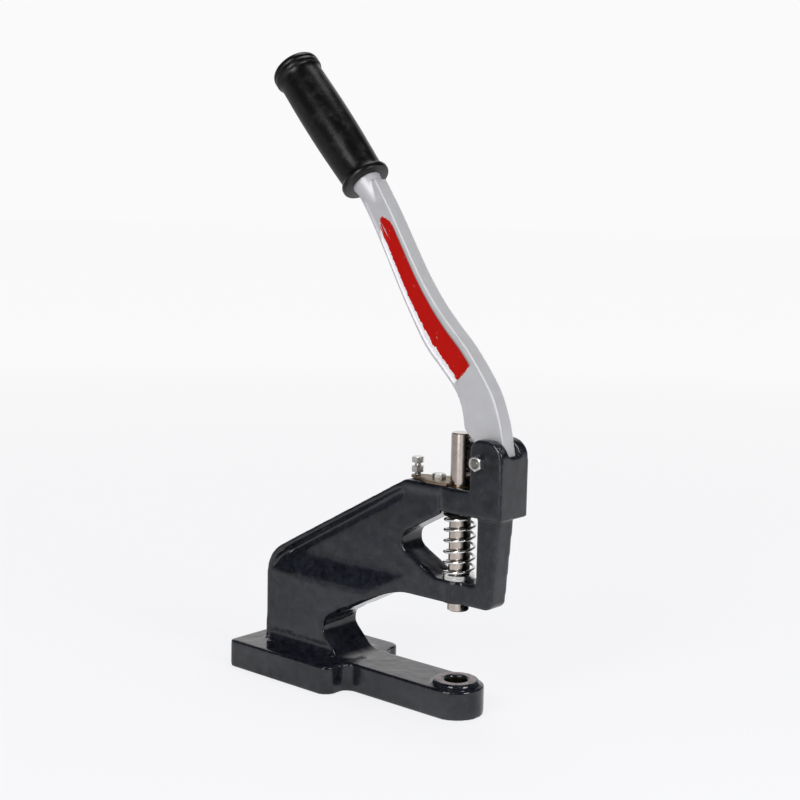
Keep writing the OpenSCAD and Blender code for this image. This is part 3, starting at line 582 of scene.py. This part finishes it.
def block(low, high):
    """A plain block for a cut, from its lowest to its highest corner in mm."""
    bpy.ops.object.select_all(action="DESELECT")
    middle = (Vector(low) + Vector(high)) / 2 * MM
    bpy.ops.mesh.primitive_cube_add(size=1, location=middle, scale=(Vector(high) - Vector(low)) * MM)
    piece = bpy.context.object
    settle(piece)
    wear(piece, ENAMEL)
    return piece


def bore_mouth():
    """The die bore's cutter, with a chamfer of 45 degrees at the boss's top."""
    chamfer = 0.8
    rim = (DIE_BORE_R + 2 * chamfer, BOSS_TOP + chamfer)
    piece = spun(
        "cutter",
        [(0, -1), (DIE_BORE_R, -1), (DIE_BORE_R, BOSS_TOP - chamfer), rim, (0, BOSS_TOP + chamfer)],
    )
    wear(piece, FACED_IRON)
    return piece


def under_rim(spots):
    """How far along the rim's lower edge points are, and how far below it."""
    start, end = np.array(RIM_REAR), np.array(RIM_FRONT)
    run = (end - start) / np.linalg.norm(end - start)
    flat = spots[:, [0, 2]] - start
    return flat @ run, flat[:, 0] * run[1] - flat[:, 1] * run[0]


def sink_under_rim(piece, width, depth):
    """Presses both sides in below the rim's lower edge.

    The hollow is deepest just under the edge, and rises to nothing a width below it and at
    0.7 widths past its ends. Points within 8 mm of the middle plane stay.
    """
    spots = spots_of(piece)
    along, below = under_rim(spots)
    past = np.maximum(-along, along - math.dist(RIM_REAR, RIM_FRONT)).clip(0) / (0.7 * width)
    slope = (1 - np.hypot((below - 1).clip(0) / width, past)).clip(0, 1)
    press = depth * slope * (below / 1.2 + 0.6).clip(0, 1)
    side = np.abs(spots[:, 1]) > 8
    spots[side, 1] -= np.sign(spots[side, 1]) * press[side]
    move_spots(piece, spots)


def tighten_fillet(piece, old, new, outside=1.5):
    """Turns the side fillet under the leg, of radius old, into one of radius new.

    Points up to a little outside the old fillet go with it.
    """
    spots = spots_of(piece)
    out = np.abs(spots[:, 1]) - LEG_HALF
    rise = spots[:, 2] - BASE_TOP
    apart, total = out - rise, out + rise
    far = np.abs(apart)
    skin = 2 * old - np.sqrt((2 * old**2 - apart**2).clip(0))
    wanted = np.where(far < new, 2 * new - np.sqrt((2 * new**2 - apart**2).clip(0)), far)
    inside = (out > 0) & (rise > 0) & (far < old) & (total < skin + outside)
    share = (total - far) / np.maximum(skin - far, 0.05)
    moved = np.where(share < 1, far + share * (wanted - far), wanted + (total - skin))
    y = np.sign(spots[:, 1]) * (LEG_HALF + (moved + apart) / 2)
    z = BASE_TOP + (moved - apart) / 2
    spots[inside, 1] = y[inside]
    spots[inside, 2] = z[inside]
    move_spots(piece, spots)


def soften_shoulder(piece):
    """Rounds the long creases of the leg's shoulders, which the enamel and the casting blur.

    The smoothing fades out towards the leg's rear and front, its foot and the rim's hollow.
    """
    spots = spots_of(piece)
    x, y, z = spots.T
    below = under_rim(spots)[1]
    fades = [(x + 152) / 6, (-62 - x) / 12, (z - 48) / 6, (below - 8.05) / 4]
    weights = np.where(np.abs(y) < 9, 0, np.minimum.reduce(fades))
    smooth_by(piece, weights, 60)


casting = copy_of("frame_casting", "cast_frame")
modify(casting, "REMESH", mode="VOXEL", voxel_size=1.2 * MM, adaptivity=0)
modify(casting, "SMOOTH", factor=0.5, iterations=7)
sink_under_rim(casting, width=7.5, depth=3.6)
tighten_fillet(casting, old=FOOT_R, new=8)
soften_shoulder(casting)
modify(casting, "SMOOTH", factor=0.5, iterations=2)
wear(casting, ENAMEL)
cut(
    casting,
    rod(BOSS_R + 6, BOSS_TOP - 0.1, BOSS_TOP + 9, finish=FACED_IRON, steps=96),
    bore_mouth(),
    rod(GUIDE_R, 80, 180),
    rod(SHOULDER_R + FIT, -40, 0, PIVOT, lay_down=True),
    rod(THREAD_R + FIT, 0, 40, PIVOT, lay_down=True),
    block((FORK_REAR - 2, -SLOT_HALF, HEAD_TOP), (STOP_X, SLOT_HALF, CLEAR_UP)),
    block((FORK_REAR - 2, -SLOT_HALF, STOP_TOP), (CLEAR_FORWARD, SLOT_HALF, CLEAR_UP)),
)
soften(casting, 50)

# ---- lever ----

# The CAD's outline points, from the pivot
LEVER_REAR = [
    (-21.5, 21.5), (-24.6, 36), (-31.5, 48.8), (-44.8, 62.6), (-59.3, 77.2),
    (-71.3, 94.5), (-85.4, 117.2), (-101.2, 144.8), (-116.6, 170.1), (-130, 189),
]
LEVER_FRONT = [
    (12.4, 18), (9, 31.5), (0.2, 51.5), (-19.6, 77.2), (-38, 95.3),
    (-51.5, 109.5), (-66.2, 128.5), (-81.6, 152.5), (-96.3, 176), (-112, 198.5),
]


def on_curve(points, s):
    """The point at s, counted in points, on the CAD's smooth curve through a list of points."""
    last = len(points) - 1
    i = min(int(s), last - 1)
    t = s - i
    p0, p1, p2, p3 = [np.array(points[min(max(k, 0), last)]) for k in range(i - 1, i + 3)]
    return 0.5 * (
        2 * p1 + (p2 - p0) * t + (2 * p0 - 5 * p1 + 4 * p2 - p3) * t * t
        + (3 * p1 - p0 - 3 * p2 + p3) * t * t * t
    )


def chart_panel(piece):
    """Stores where each point is on the lever's side, for its paint.

    X is its place across the lever, 0 at the rear edge and 1 at the front. Y is its place along
    the lever in tens of the CAD's points. Z is 1 on the flat sides and 0 round the edges. The
    hub, up to 15 mm above the pivot, has 0 for all three.
    """
    places = np.linspace(0, len(LEVER_REAR) - 1, 361)
    rear = np.array([on_curve(LEVER_REAR, s) for s in places])
    front = np.array([on_curve(LEVER_FRONT, s) for s in places])
    width = np.linalg.norm(front - rear, axis=1)
    side = (front - rear) / width[:, None]
    spots = spots_of(piece)
    chart = np.zeros((len(spots), 3))
    for k, (x, y, z) in enumerate(spots):
        if z < PIVOT_Z + 15:
            continue
        off = (x - PIVOT_X, z - PIVOT_Z) - rear
        across = (off * side).sum(1) / width
        skew = np.abs(off[:, 0] * side[:, 1] - off[:, 1] * side[:, 0])
        skew[np.abs(across - 0.5) > 0.9] = 1e3
        near = int(np.argmin(skew))
        chart[k] = (across[near], places[near] / 10, min(max((abs(y) - 4.6) / 0.6, 0), 1))
    attribute = piece.data.attributes.new("panel", "FLOAT_VECTOR", "POINT")
    attribute.data.foreach_set("vector", chart.ravel())


def smooth_above_hub(piece):
    """Rounds the lever as its paint does, from 26 mm off the pivot and fully from 32 mm."""
    spots = spots_of(piece)
    reach = np.hypot(spots[:, 0] - PIVOT_X, spots[:, 2] - PIVOT_Z)
    smooth_by(piece, (reach - 26) / 6, 8)


lever = copy_of("lever", "cast_lever")
modify(lever, "REMESH", mode="VOXEL", voxel_size=0.7 * MM, adaptivity=0)
smooth_above_hub(lever)
chart_panel(lever)
wear(lever, PAINT)
soften(lever, 50)

# ---- grip ----


def grip_outline():
    """The grip's radius and height: a flange at each end, and between them a swelling hold."""
    foot = [
        (0, 0), (17.4, 0), (18.7, 0.5), (19.2, 1.5), (19.2, 3.7), (18.7, 4.8), (17.7, 5.3),
        (17.05, 5.8), (16.8, 7), (16.75, 9),
    ]
    shares = [k / 24 for k in range(1, 25)]
    hold = [(16.7 + 0.7 * u + 1.1 * math.sin(math.pi * u), 9 + 98 * u) for u in shares]
    top = [
        (17.9, 108.0), (18.9, 108.7), (19.2, 109.9), (19.2, 111.6), (18.9, 112.3), (18.9, 112.9),
        (19.2, 113.5), (19.1, 115), (18.6, 116.5), (17.6, 117.7), (16, 118.4), (13, 118.8),
        (8, 119), (0, 119),
    ]
    return foot + hold + top


grip = spun("rubber_grip", grip_outline())
place(grip, (GRIP_FOOT[0], 0, GRIP_FOOT[1]), lean=GRIP_LEAN)
wear(grip, RUBBER)
soften(grip, 40)

# ---- return spring ----

SPRING_FOOT = 105.6
SPRING_TOP = 149.2
WIRE_R = 1.15
COIL_R = 10.95
TURNS = 5.3
START = 228
END_EASE = 0.05
COIL_RISE = SPRING_TOP - SPRING_FOOT - 2 * WIRE_R


def spring_piece():
    """Open coil: a screw of the wire's section, with both ends cut square."""
    bpy.ops.object.select_all(action="DESELECT")
    bpy.ops.mesh.primitive_circle_add(
        vertices=16, radius=WIRE_R * MM, fill_type="NOTHING",
        location=(COIL_R * MM, 0, (SPRING_FOOT + WIRE_R) * MM), rotation=(math.pi / 2, 0, 0),
    )
    piece = bpy.context.object
    piece.name = "return_spring_coil"
    settle(piece)
    modify(
        piece, "SCREW", angle=TURNS * math.tau, steps=270, render_steps=270,
        screw_offset=COIL_RISE * MM, axis="Z", use_smooth_shade=True,
    )
    # The turns lie closer at both ends, as in the CAD
    foot = SPRING_FOOT + WIRE_R
    for vertex in piece.data.vertices:
        x, y, z = vertex.co
        part = math.atan2(y, x) / math.tau
        near = (z / MM - foot) / COIL_RISE * TURNS
        u = (part + round(near - part)) / TURNS
        vertex.co.z = z - COIL_RISE * END_EASE * math.sin(math.tau * u) / math.tau * MM
    editing(
        piece,
        (bpy.ops.mesh.select_all, {"action": "DESELECT"}),
        (bpy.ops.mesh.select_non_manifold, {}),
        (bpy.ops.mesh.edge_face_add, {}),
        (bpy.ops.mesh.select_all, {"action": "SELECT"}),
        (bpy.ops.mesh.normals_make_consistent, {"inside": False}),
    )
    piece.rotation_euler = (0, 0, math.radians(START))
    settle(piece)
    wear(piece, SPRING_WIRE)
    soften(piece, 50)
    return piece


spring = spring_piece()

# ---- screws and nuts ----

BOLT_AF = 15
BOLT_FACE = -(FORK_HALF + 1.2)
BOLT_BACK = BOLT_FACE - 6
SHOULDER_END = SLOT_HALF - FIT
NUT_AF = 10
NUT_TOP = FORK_HALF + 5
THREAD_END = NUT_TOP + 0.5

PLATE_BOLT_X = -20.7
PLATE_BOLT_AF = 8.8
PLATE_BOLT_FOOT = HEAD_TOP - 11
PLATE_BOLT_TOP = PLATE_TOP + 3.8

ADJUSTER_X = -41.2
ADJUSTER_AF = 8.4
ADJUSTER_R = 2.5
ADJUSTER_TOP = HEAD_TOP + 15.7
ADJUSTER_NECK = ADJUSTER_TOP - 4.2
LOCK_NUT_FOOT = PLATE_TOP + 2.3
LOCK_NUT_TOP = LOCK_NUT_FOOT + 4.6


def fastener(name, profile, across_flats, finish, **where):
    """A turned and chamfered screw or nut with six flats."""
    piece = spun(name, profile)
    hexagonal(piece, across_flats)
    place(piece, **where)
    wear(piece, finish)
    soften(piece, 30)
    return piece


def thread(radius, depth, foot, top, pitch):
    """Ridges of a screw's thread, drawn as rings."""
    count = int((top - foot) / pitch)
    ridges = []
    for k in range(count):
        ridges += [(radius, foot + pitch * k), (radius - depth, foot + pitch * (k + 0.5))]
    return ridges + [(radius, foot + pitch * count)]


pivot_bolt = fastener(
    "hinge_bolt",
    [(0, BOLT_BACK)]
    + hex_flank(BOLT_AF, BOLT_FACE, BOLT_BACK)[::-1]
    + [(SHOULDER_R, BOLT_FACE), (SHOULDER_R, SHOULDER_END), (THREAD_R, SHOULDER_END)]
    + [(THREAD_R, THREAD_END - 1), (2.75, THREAD_END - 0.6), (2.45, THREAD_END), (0, THREAD_END)],
    BOLT_AF, DULL_STEEL, at=PIVOT, lay_down=True,
)
pivot_nut = fastener(
    "hinge_nut",
    [(THREAD_R + FIT, FORK_HALF)]
    + hex_flank(NUT_AF, FORK_HALF, NUT_TOP)
    + [(THREAD_R + 0.6, NUT_TOP), (THREAD_R + FIT, NUT_TOP - 0.6)],
    NUT_AF, ZINC, at=PIVOT, turn=30, lay_down=True,
)
plate_bolt = fastener(
    "plate_hex_bolt",
    [(0, PLATE_BOLT_FOOT), (THREAD_R, PLATE_BOLT_FOOT), (THREAD_R, PLATE_TOP)]
    + hex_flank(PLATE_BOLT_AF, PLATE_TOP, PLATE_BOLT_TOP)
    + [(0, PLATE_BOLT_TOP)],
    PLATE_BOLT_AF, ZINC, at=(PLATE_BOLT_X, 0, 0), turn=28,
)
adjuster = fastener(
    "adjusting_hex_screw",
    [(0, HEAD_TOP), (ADJUSTER_R, HEAD_TOP)]
    + thread(ADJUSTER_R, 0.35, PLATE_TOP, ADJUSTER_NECK, 0.8)
    + hex_flank(ADJUSTER_AF, ADJUSTER_NECK, ADJUSTER_TOP)
    + [(0, ADJUSTER_TOP)],
    ADJUSTER_AF, ZINC, at=(ADJUSTER_X, 0, 0),
)
lock_nut = fastener(
    "adjusting_lock_nut",
    [(ADJUSTER_R + FIT, LOCK_NUT_FOOT)]
    + hex_flank(ADJUSTER_AF, LOCK_NUT_FOOT, LOCK_NUT_TOP)
    + [(ADJUSTER_R + 0.5, LOCK_NUT_TOP), (ADJUSTER_R + FIT, LOCK_NUT_TOP - 0.5)],
    ADJUSTER_AF, ZINC, at=(ADJUSTER_X, 0, 0),
)

# ---- guide plate ----

plate = copy_of("guide_plate", "sheared_guide_plate")
editing(plate, (bpy.ops.mesh.dissolve_limited, {"angle_limit": math.radians(1)}))
modify(plate, "BEVEL", width=0.3 * MM, segments=2, limit_method="ANGLE", angle_limit=math.radians(40))
wear(plate, TANNED_STEEL)
soften(plate, 40)

# ---- CAD nodes that keep their shape ----

for node, finish in {
    "upper_guide_bush": BRONZE,
    "lower_guide_bush": ZINC,
    "ram": RAM_STEEL_WITH_PAINTED_SHADE,
    "die_set_screw": BLACK_OXIDE,
    "upper_spring_washer": BLACK_OXIDE,
    "retaining_ring": BLACK_OXIDE,
    "lower_spring_washer": ZINC,
    "pivot_bush": BRONZE,
    "pivot_washer": ZINC,
}.items():
    wear(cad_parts[node], finish)

# ---- what each piece rides on and stands for ----

for piece, body, node, slot in (
    (casting, "frame", "frame_casting", "frame_enamel"),
    (lever, "lever", "lever", "lever_paint"),
    (grip, "lever", "handle_grip", "grip_rubber"),
    (spring, "frame", "return_spring", "zinc_steel"),
    (pivot_bolt, "frame", "pivot_bolt", "zinc_steel"),
    (pivot_nut, "frame", "pivot_nut", "zinc_steel"),
    (plate, "frame", "guide_plate", "plate_steel"),
    (plate_bolt, "frame", "plate_bolt", "zinc_steel"),
    (adjuster, "frame", "adjuster_screw", "zinc_steel"),
    (lock_nut, "frame", "adjuster_lock_nut", "zinc_steel"),
):
    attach(piece, body)
    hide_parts(node)

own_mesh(spring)

# ---- studio ----

# Level directions from the machine: away from the camera, and to the camera's left
AWAY = (-0.651, 0.759, 0)
LEFT = (-0.759, -0.651, 0)


def camera():
    """The photograph's own view: a long lens, a little above the machine and in front of it."""
    azimuth, pitch, roll = (math.radians(a) for a in (40.60, 7.49, 1.19))
    right = Vector((math.cos(azimuth), math.sin(azimuth), 0))
    level_back = Vector((math.sin(azimuth), -math.cos(azimuth), 0))
    back = level_back * math.cos(pitch) + Vector((0, 0, math.sin(pitch)))
    up = back.cross(right)
    across = right * math.cos(roll) + up * math.sin(roll)
    upward = up * math.cos(roll) - right * math.sin(roll)
    turn = Matrix((across, upward, back)).transposed()
    bpy.ops.object.camera_add(location=(0.620776, -0.794578, 0.365134), rotation=turn.to_euler())
    made = bpy.context.object
    made.data.lens = 63.33
    made.data.sensor_width = 36
    bpy.context.scene.camera = made


def seen_directly(tree, path):
    """1 for rays that see the backdrop's own colour: the camera's, reflections and glass."""
    either = add(tree, "Math", {0: path["Is Camera Ray"], 1: path["Is Glossy Ray"]}, operation="MAXIMUM")
    return add(
        tree, "Math", {0: either.outputs[0], 1: path["Is Transmission Ray"]}, operation="MAXIMUM"
    ).outputs[0]


def studio_world():
    """A pale surround, softer as a source of light.

    Gloss sees it only beyond the machine, straight away from the camera. Elsewhere it sees a dim
    room, whose walls are pale at the foot, grey halfway up and nearly black above.
    """
    world = bpy.data.worlds.new("pale_surround")
    bpy.context.scene.world = world
    world.use_nodes = True
    tree = world.node_tree
    path = add(tree, "LightPath").outputs
    plain = tree.nodes["Background"]
    plain.inputs["Color"].default_value = linear("#f4f5f7")
    plain.inputs["Strength"].default_value = 0.52
    facing = add(tree, "TexCoord").outputs["Generated"]
    away = add(tree, "VectorMath", {0: facing, 1: AWAY}, operation="DOT_PRODUCT").outputs["Value"]
    room = add(tree, "MapRange", {"Value": away, "From Min": 0.85, "From Max": 0.6}).outputs[0]
    dim = add(tree, "Math", {0: room, 1: path["Is Glossy Ray"]}, operation="MULTIPLY").outputs[0]
    height = add(tree, "SeparateXYZ", {"Vector": facing}).outputs["Z"]
    high = add(tree, "MapRange", {"Value": height, "From Min": 0.5, "From Max": 0.72}).outputs[0]
    low = add(tree, "MapRange", {"Value": height, "From Min": 0.0, "From Max": 0.2}).outputs[0]
    skirting = add(
        tree, "Mix", {"Factor": low, "A": linear("#c4c4c6"), "B": linear("#3f4145")}, data_type="RGBA"
    ).outputs["Result"]
    walls = add(
        tree, "Mix", {"Factor": high, "A": skirting, "B": linear("#070708")}, data_type="RGBA"
    ).outputs["Result"]
    tone = add(
        tree, "Mix", {"Factor": dim, "A": linear("#fbfafb"), "B": walls}, data_type="RGBA"
    ).outputs["Result"]
    shown = add(tree, "Background", {"Color": tone, "Strength": 1.0})
    sockets = {0: seen_directly(tree, path), 1: plain.outputs[0], 2: shown.outputs[0]}
    mixed = add(tree, "MixShader", sockets)
    tree.links.new(mixed.outputs[0], tree.nodes["World Output"].inputs["Surface"])


def studio_floor():
    """Pale paper that runs on to the horizon and keeps a faint shadow."""
    bpy.ops.object.select_all(action="DESELECT")
    bpy.ops.mesh.primitive_circle_add(vertices=96, radius=40, fill_type="NGON", location=(0, 0, -0.2 * MM))
    floor = bpy.context.object
    floor.name = "paper_floor"
    settle(floor)
    made, tree, shader, coords = material("pale_backdrop_paper")
    tree.nodes.remove(shader)
    path = add(tree, "LightPath").outputs
    paper = add(tree, "BsdfDiffuse", {"Color": linear("#e6e6e8")})
    shade = add(tree, "BsdfDiffuse", {"Color": [0.14, 0.14, 0.14, 1]})
    reach = add(tree, "VectorMath", {0: coords}, operation="LENGTH").outputs["Value"]
    far = add(tree, "MapRange", {"Value": reach, "From Min": 0.3, "From Max": 2.5}).outputs[0]
    tone = add(
        tree, "Mix", {"Factor": far, "A": linear("#e4e4e6"), "B": linear("#f2f1f2")}, data_type="RGBA"
    ).outputs["Result"]
    # In reflections the paper ends towards the camera's right, and dims far to its left
    away = add(tree, "VectorMath", {0: coords, 1: AWAY}, operation="DOT_PRODUCT").outputs["Value"]
    left = add(tree, "VectorMath", {0: coords, 1: LEFT}, operation="DOT_PRODUCT").outputs["Value"]
    to_right = add(
        tree, "MapRange", {"Value": left, "From Min": 0.08, "From Max": -0.15, "To Max": 0.9}
    ).outputs[0]
    in_front = add(tree, "MapRange", {"Value": away, "From Min": -0.35, "From Max": -0.9}).outputs[0]
    right_end = add(tree, "Math", {0: in_front, 1: to_right}, operation="MULTIPLY").outputs[0]
    left_end = add(
        tree, "MapRange", {"Value": left, "From Min": 0.1, "From Max": 1.0, "To Max": 0.6}
    ).outputs[0]
    either = add(tree, "Math", {0: right_end, 1: left_end}, operation="MAXIMUM").outputs[0]
    dim = add(tree, "Math", {0: either, 1: path["Is Glossy Ray"]}, operation="MULTIPLY").outputs[0]
    # Reflections are mottled, as those of a cluttered room are
    clutter = add(tree, "TexNoise", {"Vector": coords, "Scale": 9.0, "Detail": 2})
    mottle = add(
        tree, "MapRange",
        {
            "Value": clutter.outputs["Fac"], "From Min": 0.35, "From Max": 0.65,
            "To Min": -0.25, "To Max": 0.25,
        },
    ).outputs[0]
    mottled = add(
        tree, "Math", {0: mottle, 1: path["Is Glossy Ray"], 2: 1.0}, operation="MULTIPLY_ADD"
    ).outputs[0]
    level = add(tree, "Math", {0: mottled, 1: dim}, operation="SUBTRACT").outputs[0]
    glow = add(tree, "Emission", {"Color": tone, "Strength": level})
    shown = add(tree, "AddShader", {0: shade.outputs[0], 1: glow.outputs[0]})
    mixed = add(tree, "MixShader", {0: seen_directly(tree, path), 1: paper.outputs[0], 2: shown.outputs[0]})
    tree.links.new(mixed.outputs[0], tree.nodes["Material Output"].inputs["Surface"])
    wear(floor, made)


def softbox(name, at, size, power):
    """A soft square lamp that faces the machine's middle, with its size in metres."""
    away = Vector(at) - Vector((0, 0, 0.15))
    bpy.ops.object.light_add(type="AREA", location=at, rotation=away.to_track_quat("Z", "Y").to_euler())
    lamp = bpy.context.object
    lamp.name = name
    lamp.data.size = size
    lamp.data.energy = power


camera()
studio_world()
studio_floor()
softbox("key_softbox", (0.2, -1.35, 1.0), 0.6, 11)
softbox("front_softbox", (1.4, -0.1, 0.8), 0.5, 12)
softbox("low_softbox", (0.02, -1.3, 0.25), 0.5, 1.6)
softbox("top_softbox", (-0.3, 0.3, 1.5), 0.7, 5)

bpy.context.scene.view_settings.view_transform = "Standard"
